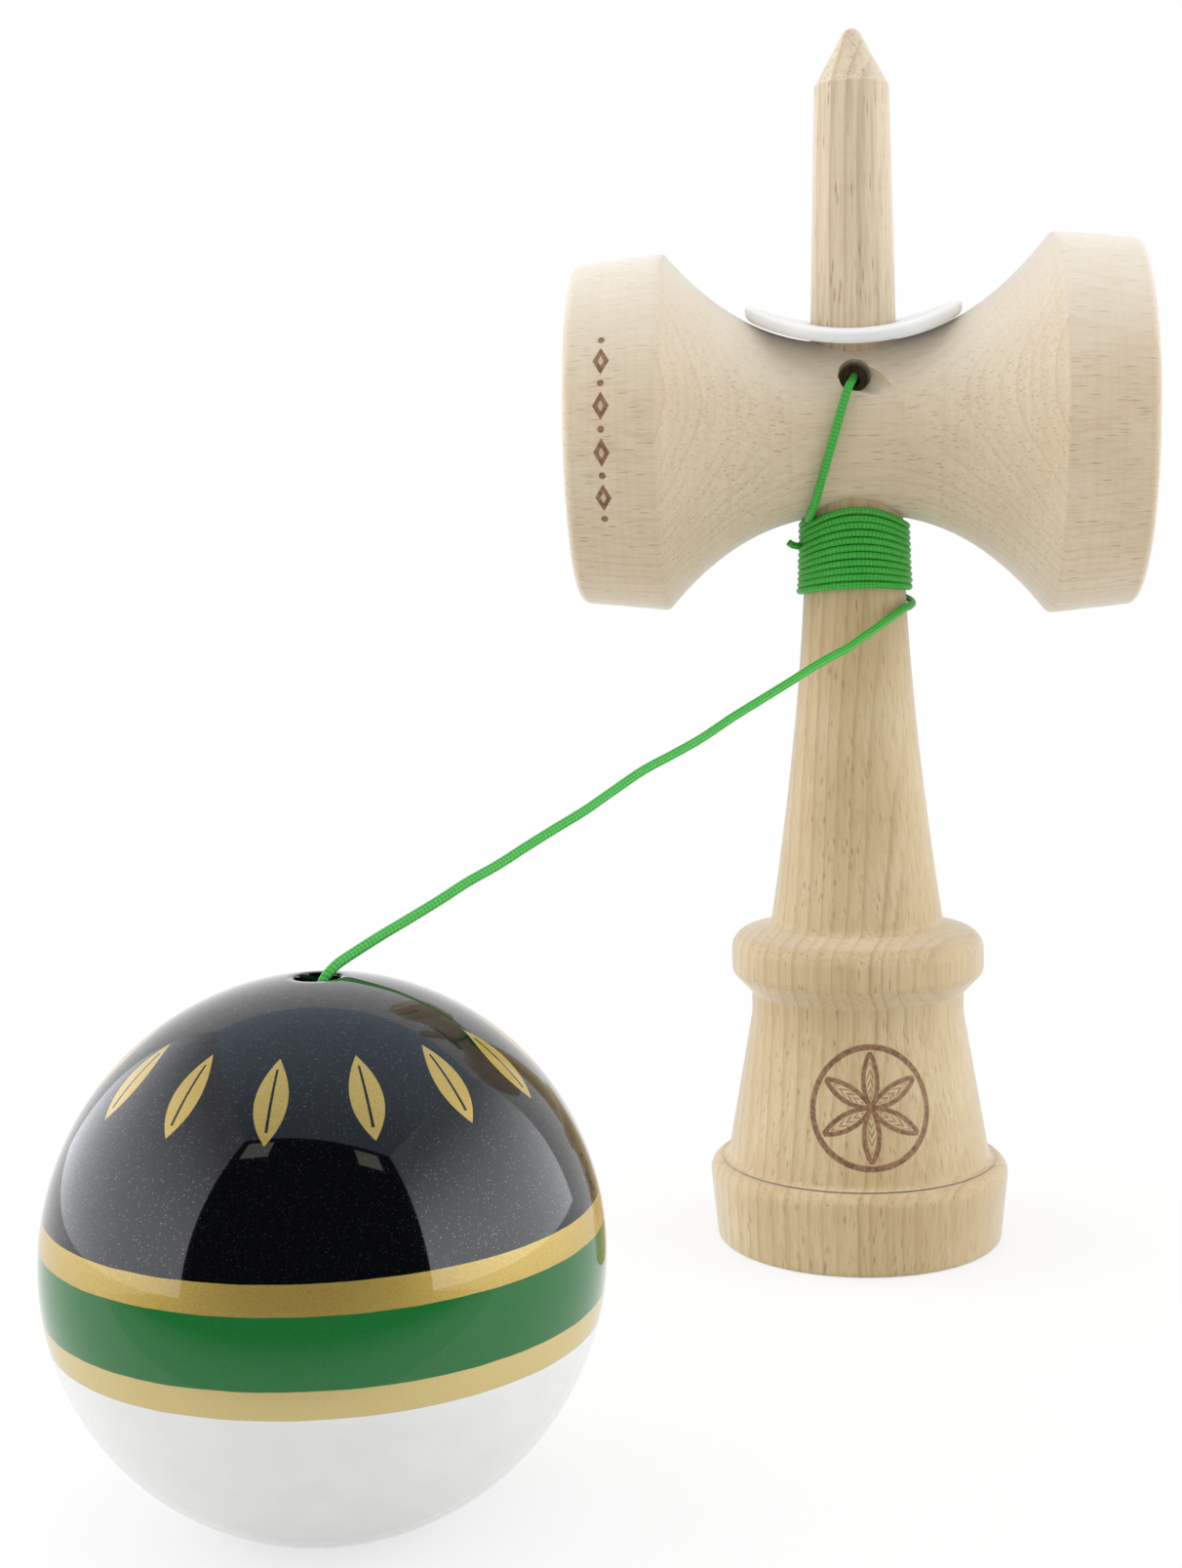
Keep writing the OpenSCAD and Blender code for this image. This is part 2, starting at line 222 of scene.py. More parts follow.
def nylonCord():
    material, tree, shader = newMaterial("braidedNylonCord")
    uv = addNode(tree, "ShaderNodeUVMap", uv_map="lay").outputs[0]
    u, v = split(tree, uv)[:2]
    around = times(tree, u, cord["yarns"])
    along = over(tree, v, cord["plait"] * 0.5)
    turn = 2 * math.pi
    oneWay = sine(tree, times(tree, plus(tree, around, along), turn))
    otherWay = sine(tree, times(tree, minus(tree, around, along), turn))
    plait = times(tree, oneWay, otherWay)
    hump = stepUp(tree, plait, -0.9, 0.8)
    spot = objectSpot(tree)
    fuzz = noiseAt(tree, spot, 2600, 3)
    tone = noiseAt(tree, spot, 160, 2)
    body = blend(tree, stepUp(tree, tone, 0.3, 0.7), cord["yarnGreen"], "#38b03e")
    # painted highlight on the crown of each yarn, then painted shade in the grooves between the yarns
    yarnWithHighlight = blend(tree, times(tree, hump, 0.5), body, cord["crownHighlight"])
    paintedGrooveShade = times(tree, flip(tree, hump), 0.4)
    colour = blend(tree, paintedGrooveShade, yarnWithHighlight, cord["grooveShadeColour"])
    rough = plus(tree, times(tree, fuzz, 0.3), 0.35)
    feed(tree, shader, {"Base Color": colour, "Roughness": rough, "IOR": 1.53})  # nylon
    height = plus(tree, plait, times(tree, fuzz, 0.5))
    linkBump(tree, shader, height, 0.06, 0.5)
    return material


# The string's route in millimetres from the foot of the handle's axis, as in the CAD source
string = {
    "hitch": ((0, 2.6, 125.1), (0, 0, 125.1), (0, -4, 125.1), (-0.1, -7, 124.9), (-0.4, -8.8, 124.2),
              (-0.5, -10.3, 123.9), (-0.7, -11.6, 123.7), (-1.1, -12.5, 122.6), (-1.6, -12.8, 121.1),
              (-2.1, -13, 119.5), (-2.8, -13, 117), (-3.5, -12.7, 114.6), (-4.2, -11.9, 112.2),
              (-4.9, -10.6, 109.9), (-5.5, -9, 107.9), (-6.1, -7.2, 106.3)),
    "span": ((-0.1, -14.1, 88.4), (-1.2, -15.6, 87.7), (-5.2, -21.1, 85.9), (-9.1, -26.4, 83.8),
             (-12.9, -31.6, 81.8), (-16.5, -36.6, 79.9), (-20.1, -41.5, 77.8), (-23.5, -46.2, 76.2),
             (-26.9, -50.8, 74.7), (-30.1, -55.2, 72.8), (-33.2, -59.6, 70.9), (-36.3, -63.8, 69.3),
             (-39.3, -67.8, 67.7), (-42.2, -71.8, 66.1), (-45, -75.6, 64.8), (-47.7, -79.4, 63.3),
             (-50.4, -83, 61.9), (-53, -86.6, 60.6), (-55.2, -89.6, 59.4), (-56.4, -91.4, 58.7),
             (-57.1, -92.4, 58.1), (-57.7, -93.2, 57.3), (-58, -93.7, 56.4), (-58.1, -93.9, 55),
             (-58.2, -94, 53), (-58.3, -94.1, 50), (-58.3, -94.1, 31.26)),
    "turns": 11, "loopPoints": 48, "startAngle": 209, "exitAngle": -35.8, "topZ": 104.7, "lowZ": 94.7,
    "exitDrop": 2.2, "exitSwell": 0.5, "exitShare": 0.5, "archTop": 2.6, "archLow": 0.5,
    "bendStart": (2.9, -10.0, 90.7), "bendEnd": (-6.0, -22.2, 85.5),
    "tail": ((-7.2, -1.2, 101.6), (-8.2, -2.0, 101.7), (-8.9, -2.3, 101.9), (-9.4, -2.2, 102.3))}


# The handle's taper, which the string is wound on
taper = {"lowZ": 46.9, "topZ": 106.0, "lowR": 12.5, "topR": 6.95, "bend": 1.65}


def handleRadius(z):
    share = max((taper["topZ"] - z) / (taper["topZ"] - taper["lowZ"]), 0)
    return taper["topR"] + (taper["lowR"] - taper["topR"]) * share ** taper["bend"]


def smoothShare(share):
    t = max(0, min(1, share))
    return t * t * (3 - 2 * t)


def windingPoints():
    total = string["turns"] + (string["startAngle"] - string["exitAngle"]) / 360
    count = math.ceil(total * string["loopPoints"])
    points = []
    for i in range(count + 1):
        done = i / count
        angle = math.radians(string["startAngle"] - 360 * total * done)
        leaving = max(0, 1 - (count - i) / string["loopPoints"] / string["exitShare"]) ** 2
        level = string["topZ"] - (string["topZ"] - string["lowZ"]) * done - string["exitDrop"] * leaving
        arch = string["archTop"] + (string["archLow"] - string["archTop"]) * done
        uneven = 0.1 * noise.noise((i * 0.021, 3.7, 0)) * (1 - leaving)  # hand-wound, so not quite level
        z = level + arch * math.sin(angle) ** 2 + uneven
        lift = 0.12 * noise.noise((i * 0.033, 9.1, 4.2))
        radius = handleRadius(level) + cord["wound"] / 2 + string["exitSwell"] * leaving + max(lift, 0)
        points.append(Vector((radius * math.cos(angle), radius * math.sin(angle), z)))
    return points


def curveThrough(points, step):  # a smooth line through the points, in even steps
    fine = []
    count = len(points)
    for i in range(count - 1):
        a, b, c, d = (points[max(0, min(count - 1, i + k))] for k in (-1, 0, 1, 2))
        pieces = max(1, math.ceil((c - b).length / (step * 0.5)))
        for k in range(pieces):
            t = k / pieces
            fine.append(0.5 * (2 * b + (c - a) * t + (2 * a - 5 * b + 4 * c - d) * t * t
                               + (3 * b - a - 3 * c + d) * t ** 3))
    fine.append(points[-1])
    even = [fine[0]]
    left = step
    for a, b in zip(fine, fine[1:]):
        gap = (b - a).length
        while gap >= left > 0:
            a = a + (b - a) * (left / gap)
            even.append(a)
            gap = (b - a).length
            left = step
        left -= gap
    return even


def addTube(work, layer, line, radii):
    sides = cord["sides"]
    last = len(line) - 1
    headings = [(line[min(i + 1, last)] - line[max(i - 1, 0)]).normalized() for i in range(last + 1)]
    side = headings[0].orthogonal().normalized()
    rings = []
    length = 0
    lengths = []
    for i, (point, heading) in enumerate(zip(line, headings)):
        side = (side - heading * side.dot(heading)).normalized()
        other = heading.cross(side)
        length += (point - line[i - 1]).length if i else 0
        lengths.append(length)
        ring = []
        for k in range(sides):
            turn = 2 * math.pi * k / sides
            phase = 2 * math.pi * length / (cord["plait"] * 0.5)
            weave = math.sin(turn * cord["yarns"] + phase) * math.sin(turn * cord["yarns"] - phase)
            reach = radii[i] * (1 + cord["swell"] * weave)
            spot = point + (side * math.cos(turn) + other * math.sin(turn)) * reach
            ring.append(work.verts.new(spot * mm + kenAxis))
        rings.append(ring)
    for i in range(last):
        for k in range(sides):
            after = (k + 1) % sides
            face = work.faces.new((rings[i][k], rings[i][after], rings[i + 1][after], rings[i + 1][k]))
            for loop, (u, v) in zip(face.loops, ((k, i), (k + 1, i), (k + 1, i + 1), (k, i + 1))):
                loop[layer].uv = (u / sides, lengths[v])
    work.faces.new(reversed(rings[0]))
    work.faces.new(rings[-1])


def tubeMesh(name, tubes):  # one mesh of tubes, each a line and its radii
    work = bmesh.new()
    layer = work.loops.layers.uv.new("lay")
    for line, radii in tubes:
        addTube(work, layer, line, radii)
    bmesh.ops.recalc_face_normals(work, faces=work.faces)
    mesh = meshFrom(work, name)
    mesh.shade_smooth()
    return mesh


def makeString(material):
    hitch = [Vector(p) for p in string["hitch"]]
    winding = windingPoints()
    span = [Vector(p) for p in string["span"]]
    heading = (span[1] - winding[-1]).normalized()
    lead = [winding[-1] + heading * reach for reach in (2.5, 6)]
    line = curveThrough(hitch + winding + lead + span, cord["step"])
    first = sum((b - a).length for a, b in zip(hitch, hitch[1:] + winding[:1])) / cord["step"]
    last = first + sum((b - a).length for a, b in zip(winding, winding[1:])) / cord["step"]
    pulled = [smoothShare((i - first) / 15) * smoothShare((last - i) / 15)  # tight in the turns
              for i in range(len(line))]
    radii = [(cord["diameter"] + (cord["wound"] - cord["diameter"]) * share) / 2 for share in pulled]
    tail = curveThrough([Vector(p) for p in string["tail"]], cord["step"])
    mesh = tubeMesh("string", ((line, radii), (tail, [cord["wound"] / 2] * len(tail))))
    piece = addPiece("string", mesh, material)
    path = [p * mm + kenAxis for p in line[::2]] + [line[-1] * mm + kenAxis]
    length = sum((b - a).length for a, b in zip(path, path[1:]))
    return piece, path, length


# Knots: an overhand knot of the same cord, pulled tight
knot = {"reach": 1.15, "rise": 0.85, "points": 90, "inKen": (0, 4.0, 125.1),
        "underBead": (-58.3, -94.1, 29.86)}


def makeKnot(name, centre, axis, material):
    line = []
    for i in range(knot["points"] + 1):
        t = 2 * math.pi * i / knot["points"]
        x = (math.sin(t) + 2 * math.sin(2 * t)) * knot["reach"] / 3
        y = (math.cos(t) - 2 * math.cos(2 * t)) * knot["reach"] / 3
        line.append(Vector((x, y, -math.sin(3 * t) * knot["rise"])))
    turn = up.rotation_difference(axis).to_matrix()
    line = [turn @ p + Vector(centre) for p in line]
    return addPiece(name, tubeMesh(name, ((line, [cord["wound"] / 2] * len(line)),)), material)


cordMaterial = nylonCord()
stringPiece, stringPath, stringLength = makeString(cordMaterial)
kenKnot = makeKnot("kenKnot", knot["inKen"], toBack, cordMaterial)
beadKnot = makeKnot("beadKnot", knot["underBead"], up, cordMaterial)
print("string made,", round(stringLength * 1000), "mm")


# Turned pieces: a profile of radius and height, swept round the axis by one node tree
def turningTree():
    tree = bpy.data.node_groups.new("turning", "GeometryNodeTree")
    for name, way, kind in (("Profile", "INPUT", "Geometry"), ("Segments", "INPUT", "Int"),
                            ("Finish", "INPUT", "Material"), ("Piece", "OUTPUT", "Geometry")):
        tree.interface.new_socket(name, in_out=way, socket_type="NodeSocket" + kind)
    given = addNode(tree, "NodeGroupInput")
    rows = addNode(tree, "GeometryNodeAttributeDomainSize", {0: given.outputs["Profile"]}, component="MESH")
    count = rows.outputs["Point Count"]
    columns = plus(tree, given.outputs["Segments"], 1)
    grid = addNode(tree, "GeometryNodeMeshGrid", {"Vertices X": columns, "Vertices Y": count})
    index = addNode(tree, "GeometryNodeInputIndex").outputs[0]
    row = calc(tree, "MODULO", index, count)
    column = calc(tree, "FLOOR", over(tree, plus(tree, index, 0.5), count))
    angle = times(tree, over(tree, column, given.outputs["Segments"]), 2 * math.pi)
    spot = addNode(tree, "GeometryNodeInputPosition").outputs[0]
    inputs = {"Geometry": given.outputs["Profile"], "Value": spot, "Index": row}
    pick = addNode(tree, "GeometryNodeSampleIndex", inputs, data_type="FLOAT_VECTOR", domain="POINT")
    parts = split(tree, pick.outputs["Value"])
    x = times(tree, parts[0], cosine(tree, angle))
    y = times(tree, parts[0], sine(tree, angle))
    place = addNode(tree, "ShaderNodeCombineXYZ", {0: x, 1: y, 2: parts[2]}).outputs[0]
    swept = addNode(tree, "GeometryNodeSetPosition", {0: grid.outputs["Mesh"], "Position": place})
    merged = addNode(tree, "GeometryNodeMergeByDistance", {0: swept.outputs[0], "Distance": 0.001 * mm})
    real = addNode(tree, "GeometryNodeRealizeInstances", {0: merged.outputs[0]}).outputs[0]
    finish = addNode(tree, "GeometryNodeSetMaterial", {0: real, "Material": given.outputs["Finish"]})
    addNode(tree, "NodeGroupOutput", {0: finish.outputs[0]})
    return tree


turning = turningTree()


def plainMesh(piece, name):  # the piece's evaluated mesh, with no modifier left
    bpy.context.view_layer.update()
    seen = piece.evaluated_get(bpy.context.evaluated_depsgraph_get())
    mesh = bpy.data.meshes.new_from_object(seen)
    mesh.name = name
    return mesh


def turn(name, profile, segments, material, place):
    line = bpy.data.meshes.new(name + "Profile")
    edges = [(i, i + 1) for i in range(len(profile) - 1)]
    line.from_pydata([(r * mm, 0, z * mm) for r, z in profile], edges, [])
    blank = addObject(name + "Profile", line)
    modifier = blank.modifiers.new("turning", "NODES")
    modifier.node_group = turning
    sockets = {s.name: s.identifier for s in turning.interface.items_tree if s.in_out == "INPUT"}
    modifier[sockets["Segments"]] = segments
    modifier[sockets["Finish"]] = material
    mesh = plainMesh(blank, name)
    bpy.data.objects.remove(blank)
    mesh.transform(place)
    closeMesh(mesh)
    return addPiece(name, mesh, material)


def cutAway(piece, cutters):  # takes each cutter's solid out of the piece
    for cutter in cutters:
        modifier = piece.modifiers.new("cut", "BOOLEAN")
        modifier.operation = "DIFFERENCE"
        modifier.solver = "EXACT"
        modifier.object = cutter
    mesh = plainMesh(piece, piece.name)
    piece.modifiers.clear()
    for material in piece.data.materials:
        mesh.materials.clear()
        mesh.materials.append(material)
    piece.data = mesh
    for cutter in cutters:
        bpy.data.objects.remove(cutter)
    closeMesh(mesh)


def addCutter(rings, axis, centre):  # a closed solid of rings: reach along the axis, a radius for each side
    work = bmesh.new()
    turnTo = up.rotation_difference(axis).to_matrix()
    made = []
    for reach, radii in rings:
        count = len(radii)
        ring = []
        for k, radius in enumerate(radii):
            angle = 2 * math.pi * k / count
            spot = Vector((radius * math.cos(angle), radius * math.sin(angle), reach))
            ring.append(work.verts.new((turnTo @ spot + centre) * mm))
        made.append(ring)
    for low, high in zip(made, made[1:]):
        bridge(work, low, high)
    work.faces.new(list(reversed(made[0])))
    work.faces.new(made[-1])
    bmesh.ops.recalc_face_normals(work, faces=work.faces)
    return addObject("drill", meshFrom(work, "drill"))


def addDrill(radius, low, high, sides, axis, centre):
    return addCutter([(low, [radius] * sides), (high, [radius] * sides)], axis, centre)


def arc(radius, rise, first, last, steps):  # profile points from one angle to another
    angles = [first + (last - first) * i / steps for i in range(steps + 1)]
    return [(radius * math.cos(a), rise + radius * math.sin(a), 0) for a in angles]


def roundCorner(a, b, c, radius, steps=10):  # points that round the corner b
    a, b, c = (Vector(p) for p in (a, b, c))
    u, v = (a - b).normalized(), (c - b).normalized()
    half = math.acos(max(-1, min(1, u.dot(v)))) / 2
    middle = b + (u + v).normalized() * (radius / math.sin(half))
    first = b + u * (radius / math.tan(half)) - middle
    last = b + v * (radius / math.tan(half)) - middle
    return [middle + (first + (last - first) * (i / steps)).normalized() * radius for i in range(steps + 1)]


def outline(corners, longest):  # a line through corners (radius, height, rounding), cut to short steps
    points = []
    for i, corner in enumerate(corners):
        if 0 < i < len(corners) - 1 and corner[2] > 0:
            before, after = corners[i - 1], corners[i + 1]
            points += [tuple(p) for p in roundCorner(before[:2], corner[:2], after[:2], corner[2])]
        else:
            points.append(tuple(corner[:2]))
    fine = [points[0]]
    for a, b in zip(points, points[1:]):
        gap = math.dist(a, b)
        if gap < 1e-4:
            continue
        pieces = math.ceil(gap / longest)
        fine += [(a[0] + (b[0] - a[0]) * k / pieces, a[1] + (b[1] - a[1]) * k / pieces)
                 for k in range(1, pieces + 1)]
    return fine


# Sanded beech: growth rings, fine fibre streaks and the short brown flecks of the wood's rays
def beech(name, wood, marks=None):
    material, tree, shader = newMaterial(name)
    spot = objectSpot(tree)
    local = inMillimetres(tree, spot, wood["centre"], wood["turn"])  # fibres along Z
    x, y, z = split(tree, local)
    sway = noiseAt(tree, stretch(tree, local, (0.05, 0.05, 0.018)), 1, 2)
    fromPithX = minus(tree, x, wood["pith"][0])
    fromPithY = minus(tree, y, wood["pith"][1])
    away = hypot(tree, fromPithX, fromPithY)
    depth = plus(tree, away, times(tree, sway, wood["sway"]))
    lean = plus(tree, depth, times(tree, z, wood["lean"]))
    years = over(tree, lean, wood["ring"])
    years = plus(tree, years, times(tree, noiseAlong(tree, years, 0.45, 1), 1.6))  # uneven years
    late = addNode(tree, "ShaderNodeValToRGB", {0: fraction(tree, years)})
    stops = late.color_ramp.elements
    for stop, level in zip(stops, (0.4, 0.9)):
        stop.color = (level, level, level, 1)
    for position, level in ((0.08, 0.0), (0.45, 0.08), (0.72, 0.4), (0.92, 1.0)):
        stops.new(position).color = (level, level, level, 1)
    whole = calc(tree, "FLOOR", years)
    vigour = addNode(tree, "ShaderNodeTexWhiteNoise", {"W": whole}, noise_dimensions="1D")
    normal = addNode(tree, "ShaderNodeNewGeometry").outputs["Normal"]
    flat = times(tree, stepUp(tree, dotWith(tree, normal, wood["toPith"]), 0.8, 0.98), 0.8)
    ringTone = times(tree, times(tree, late.outputs[0], flip(tree, flat)),  # blurred where rings lie flat
                     plus(tree, times(tree, vigour.outputs[0], 0.6), 0.4))
    fibre = stretch(tree, local, (1.5, 1.5, 0.035))
    streak = addNode(tree, "ShaderNodeTexNoise", {"Vector": fibre, "Scale": 1, "Detail": 4, "Roughness": 0.6})
    pore = noiseAt(tree, stretch(tree, local, (6, 6, 0.22)), 1, 2)
    bearing = angleOf(tree, fromPithY, fromPithX)
    across = times(tree, bearing, wood["pithFar"])
    rayspace = addNode(tree, "ShaderNodeCombineXYZ", {0: over(tree, across, wood["fleckWide"]),
                       1: over(tree, z, wood["fleckLong"]), 2: over(tree, away, 0.7)}).outputs[0]
    ray = addNode(tree, "ShaderNodeTexVoronoi", {"Vector": rayspace, "Scale": 1})
    chosen = addNode(tree, "ShaderNodeSeparateColor", {0: ray.outputs["Color"]})
    lens = stepDown(tree, ray.outputs["Distance"], 0.08, 0.36)
    fleck = times(tree, lens, stepUp(tree, chosen.outputs[0], wood["fleckShare"], wood["fleckShare"] + 0.3))
    patch = noiseAt(tree, local, 0.055, 2)
    line = noiseAt(tree, stretch(tree, local, (2.4, 2.4, 0.05)), 1, 2)
    lathe = noiseAlong(tree, plus(tree, z, times(tree, sway, 0.8)), 1.1, 2)
    upward = dotWith(tree, normal, up)
    colour = blend(tree, stepUp(tree, patch, 0.3, 0.7), wood["pale"], wood["mid"])
    for amount, strength, tone in (
            # paler higher up the piece, between the two heights in paleRise
            (stepUp(tree, z, *wood["paleRise"]), 0.6, "#e9dcc6"),
            (stepUp(tree, streak.outputs["Fac"], 0.42, 0.75), wood["streak"], wood["warm"]),
            (ringTone, wood["ringDepth"], wood["late"]), (stepUp(tree, pore, 0.5, 0.8), 0.28, wood["late"]),
            (stepUp(tree, line, 0.5, 0.68), wood["fibre"], wood["late"]),
            (stepUp(tree, lathe, 0.46, 0.66), wood["lathe"], wood["warm"]),
            (fleck, wood["fleck"], wood["ray"]),
            (stepUp(tree, upward, 0.12, 0.6), wood["paintedTopLight"], "#efe8dc")):  # painted highlight: paler on faces turned up, as if lit from above
        colour = blend(tree, times(tree, amount, strength), colour, tone)
    height = minus(tree, times(tree, pore, 0.5), times(tree, fleck, 0.4))
    if marks:
        burn = marks(tree, spot)
        char = noiseAt(tree, local, 1.6, 3)
        brown = blend(tree, stepUp(tree, char, 0.35, 0.7), "#9a7350", "#6d4a30")
        colour = blend(tree, burn, colour, brown)
        height = minus(tree, height, times(tree, burn, 2.0))
    rough = plus(tree, times(tree, pore, 0.2), 0.5)
    feed(tree, shader, {"Base Color": colour, "Roughness": rough, "IOR": 1.47,  # dry wood, sanded and bare
                        "Specular IOR Level": 0.5, "Sheen Roughness": 0.45,
                        "Sheen Weight": 0.9})  # raised fibres whiten the edges
    linkBump(tree, shader, height, 0.06, 0.35)
    return material


# The handle, in millimetres
ken = {"height": 173.6, "footR": 20.8, "footEdge": 0.8, "baseR": 22.05, "baseH": 12.8, "baseRound": 2,
       "grooveDrop": 0.9, "grooveRound": 0.8, "bodyLowR": 19.2, "bodyTopR": 15.4, "bodyTopZ": 33.6,
       "bodyRound": 8, "collarLowZ": 36.8, "collarBevel": 3.1, "collarR": 18.3, "collarLowRound": 2,
       "collarEdgeZ": 45.2, "collarTopRound": 2.8, "handleRound": 1.3, "seatZ": 111.0, "spikeLowR": 6.1,
       "waistTopZ": 130.2, "spikeTopR": 5.25, "pointZ": 165.6, "spikeEdge": 0.6, "tipRound": 1.45,
       "cupR": 26, "cupMouthR": 17.6, "holeZ": 125.1, "holeR": 0.95, "pocketR": 2, "knotSeatY": 2.6,
       "mouthR": 2.1, "mouthY": -0.8, "overrun": 0.5, "holeReach": 8, "pocketReach": 9,
       "segments": 224, "step": 0.9}
kenWood = {"centre": kenAxis, "turn": (0, 0, 0), "pith": (80, -46), "pithFar": 92,
           "toPith": (0.867, -0.498, 0), "sway": 3, "lean": 0.012, "ring": 2.0, "paintedTopLight": 0, "paleRise": (90, 150),
           "pale": "#d8c49b", "mid": "#ccb487", "warm": "#be9e6b", "late": "#a58052", "ray": "#8f6c46",
           "streak": 0.42, "ringDepth": 0.54, "fleck": 0.58, "fleckShare": 0.42, "fleckLong": 4.4,
           "fleckWide": 0.36, "fibre": 0.2, "lathe": 0.05}


def kenProfile():
    cupDepth = math.sqrt(ken["cupR"] ** 2 - ken["cupMouthR"] ** 2)
    mouthAngle = math.atan2(cupDepth, ken["cupMouthR"])
    cup = arc(ken["cupR"], -cupDepth, math.pi / 2, mouthAngle, 24)
    cup[0] = (0, cup[0][1], 0)
    steps = 60
    tall = taper["topZ"] - taper["lowZ"]
    levels = [taper["lowZ"] + tall * i / steps for i in range(2, steps + 1)]
    handle = [(handleRadius(z), z, 0) for z in levels]
    reach = math.hypot(ken["spikeTopR"], ken["pointZ"] - ken["height"] + ken["tipRound"])
    tipZ = ken["height"] - ken["tipRound"]
    tipAngle = math.atan2(ken["pointZ"] - tipZ, ken["spikeTopR"]) + math.acos(ken["tipRound"] / reach)
    tip = arc(ken["tipRound"], tipZ, tipAngle, math.pi / 2, 10)
    tip[-1] = (0, ken["height"], 0)
    corners = cup + [
        (ken["footR"], 0, ken["footEdge"]), (ken["baseR"], ken["baseH"], ken["baseRound"]),
        (ken["bodyLowR"], ken["baseH"] - ken["grooveDrop"], ken["grooveRound"]),
        (ken["bodyTopR"], ken["bodyTopZ"], ken["bodyRound"]), (ken["bodyTopR"], ken["collarLowZ"], 0),
        (ken["collarR"], ken["collarLowZ"] + ken["collarBevel"], ken["collarLowRound"]),
        (ken["collarR"], ken["collarEdgeZ"], ken["collarTopRound"]),
        (taper["lowR"], taper["lowZ"], ken["handleRound"])] + handle + [
        (taper["topR"], ken["seatZ"], 0), (ken["spikeLowR"], ken["seatZ"], 0),
        (ken["spikeLowR"], ken["waistTopZ"], 0),
        (ken["spikeTopR"], ken["pointZ"], ken["spikeEdge"])] + tip
    return outline(corners, ken["step"])


# A compass-drawn rosette burnt into the front of the body
rosette = {"height": 23.4, "side": 1.5, "bodyR": 17.4, "radius": 7.6, "line": 0.34, "rim": 0.42,
           "soft": 0.12}


def rosetteMarks(tree, spot):
    local = inMillimetres(tree, spot, kenAxis)
    x, y, z = split(tree, local)
    front = below(tree, y, 0.0)
    wrap = times(tree, angleOf(tree, x, times(tree, y, -1.0)), rosette["bodyR"])
    u = minus(tree, wrap, rosette["side"])
    v = minus(tree, z, rosette["height"])
    away = hypot(tree, u, v)
    sixth = math.pi / 3
    bearing = plus(tree, angleOf(tree, u, v), math.pi * 2 + sixth / 2)
    folded = minus(tree, calc(tree, "MODULO", bearing, sixth), sixth / 2)
    px = times(tree, away, cosine(tree, folded))
    py = times(tree, away, absolute(tree, sine(tree, folded)))
    radius = rosette["radius"]
    dx = minus(tree, px, radius * math.cos(sixth))
    dy = plus(tree, py, radius * math.sin(sixth))
    curve = minus(tree, radius, hypot(tree, dx, dy))
    line, soft = rosette["line"], rosette["soft"]
    edge = stepDown(tree, absolute(tree, curve), line - soft, line + soft)
    inside = below(tree, away, radius + 0.1)
    hatch = sine(tree, times(tree, plus(tree, px, times(tree, py, 2.2)), 5.2))
    petal = times(tree, stepUp(tree, curve, 0.35, 0.6), stepUp(tree, hatch, 0.15, 0.6))
    petal = times(tree, petal, 0.75)
    drawn = times(tree, most(tree, edge, petal), inside)
    rim = absolute(tree, minus(tree, away, radius + 0.75))
    ring = stepDown(tree, rim, rosette["rim"] - soft, rosette["rim"] + soft)
    return times(tree, most(tree, drawn, ring), front)


kenMaterial = beech("sandedBeechHandle", kenWood, rosetteMarks)
kenPiece = turn("ken", kenProfile(), ken["segments"], kenMaterial, Matrix.Translation(kenAxis))
kenHole = kenAxis / mm + up * ken["holeZ"]
cutAway(kenPiece, [
    addDrill(ken["holeR"], -ken["knotSeatY"] - ken["overrun"], ken["holeReach"], 32, toFront, kenHole),
    addDrill(ken["mouthR"], ken["mouthY"], ken["holeReach"], 32, toFront, kenHole),
    addDrill(ken["pocketR"], ken["knotSeatY"], ken["pocketReach"], 40, toBack, kenHole)])
print("handle turned")


# The cross-piece, in millimetres from the middle of its axis
sarado = {"half": 39.3, "z": 118.1, "waistR": 12.1, "leftRidgeR": 25.3, "leftRidgeX": 26.7, "leftRimR": 24.0,
          "leftCupR": 26, "leftMouthR": 20.4, "rightRidgeR": 26.6, "rightRidgeX": 27.4, "rightRimR": 25.4,
          "rightCupR": 27, "rightMouthR": 21.9, "flareBend": 2.4, "lipRound": 1.3, "ridgeRound": 1.2,
          "boreR": 6.15, "boreL": 40, "socketR": 7.0, "socketDepth": 5, "below": 4, "overrun": 1,
          "holeR": 2.3, "holeRise": 7, "holeReaches": (2.0, 7.6, 8.4, 9.0, 9.6, 10.2, 11.0, 12.5),
          "tearFrom": 8.2, "tearTurn": 20, "roughFrom": 7, "segments": 240, "step": 0.8}
saradoCentre = kenAxis + up * sarado["z"] * mm
saradoWood = {"centre": saradoCentre, "turn": (0, math.pi / 2, 0), "pith": (-22, -120), "pithFar": 120,
              "toPith": (0, -1, 0), "sway": 4, "lean": 0.01, "ring": 1.6, "paintedTopLight": 0.38, "paleRise": (300, 400),
              "pale": "#e3d4b9", "mid": "#dcc9ac", "warm": "#d2b890", "late": "#bd9a6e", "ray": "#9c7850",
              "streak": 0.35, "ringDepth": 0.32, "fleck": 0.52, "fleckShare": 0.4, "fleckLong": 3.8,
              "fleckWide": 0.45, "fibre": 0.2, "lathe": 0.18}


def cupCurve(cupR, mouthR, rimAt, side):  # from the axis out to the mouth
    depth = math.sqrt(cupR ** 2 - mouthR ** 2)
    mouth = math.asin(mouthR / cupR)
    steps = 28
    angles = [mouth * i / steps for i in range(steps + 1)]
    points = [(cupR * math.sin(a), side * (rimAt + depth - cupR * math.cos(a)), 0) for a in angles]
    points[0] = (0, points[0][1], 0)
    return points


